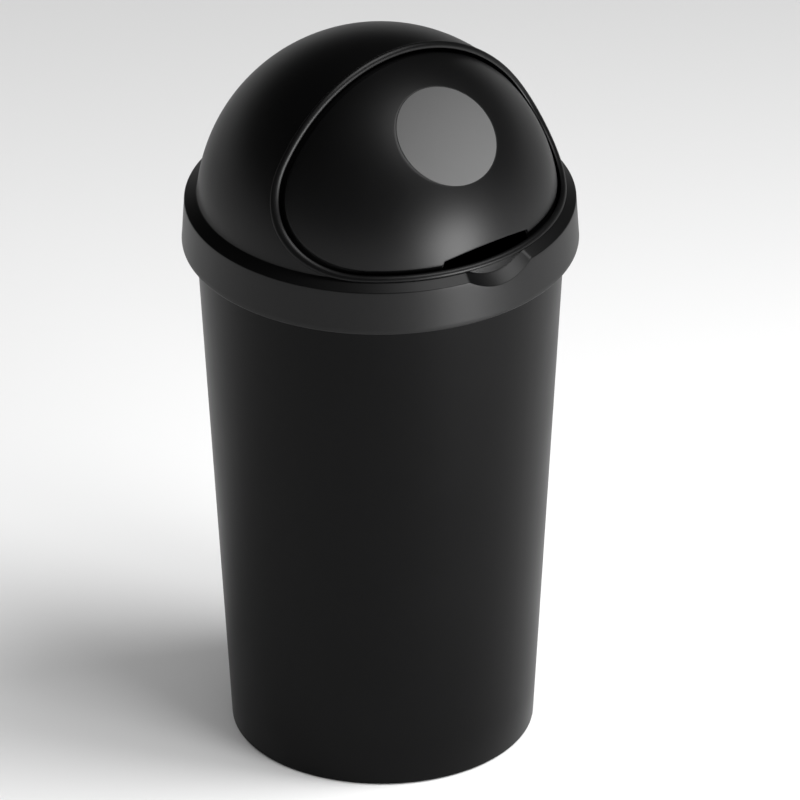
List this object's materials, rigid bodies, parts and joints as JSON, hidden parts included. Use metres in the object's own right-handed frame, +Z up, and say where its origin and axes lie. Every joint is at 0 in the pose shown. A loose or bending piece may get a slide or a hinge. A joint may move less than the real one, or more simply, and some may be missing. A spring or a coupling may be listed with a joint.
{
  "type": "dome top waste receptacle",
  "caption": "Tall round tapered waste bin with a lift-off dome lid and a push-up flap that rolls inside the dome.",
  "frame": {"origin": "centre of the base, on the floor", "axes": "+Z up along the tub's axis, the flap and its finger pull face -Y, the flap's pivots lie along X"},
  "size_m": [0.3998, 0.3998, 0.7746],
  "materials": {
    "tub_plastic": "satin black moulded plastic",
    "lid_plastic": "satin black moulded plastic",
    "flap_plastic": "satin black moulded plastic",
    "badge_plastic": "plain mid-grey disc",
    "pin_steel": "turned steel",
    "washer_nylon": "natural nylon",
    "clip_steel": "spring steel",
    "bumper_rubber": "soft rubber",
    "foot_rubber": "non-slip rubber"
  },
  "bodies": {
    "tub_body": {"tub": "tub_plastic", "front_left_foot": "foot_rubber", "front_right_foot": "foot_rubber", "rear_left_foot": "foot_rubber", "rear_right_foot": "foot_rubber"},
    "lid_body": {"lid": "lid_plastic", "left_pivot_pin": "pin_steel", "right_pivot_pin": "pin_steel", "left_pivot_washer": "washer_nylon", "right_pivot_washer": "washer_nylon", "left_retaining_clip": "clip_steel", "right_retaining_clip": "clip_steel", "left_closing_bumper": "bumper_rubber", "right_closing_bumper": "bumper_rubber", "left_opening_bumper": "bumper_rubber", "right_opening_bumper": "bumper_rubber"},
    "flap_body": {"flap": "flap_plastic", "badge_disc": "badge_plastic"}
  },
  "joints": [
    {"name": "lid_lift", "type": "slide", "parent": "tub_body", "child": "lid_body", "axis": [0, 0, 1], "range_m": [0, 0.15]},
    {"name": "flap_swing", "type": "hinge", "parent": "lid_body", "child": "flap_body", "pos_m": [0, 0, 0.5871], "axis": [-1, 0, 0], "range_deg": [0, 75]}
  ]
}
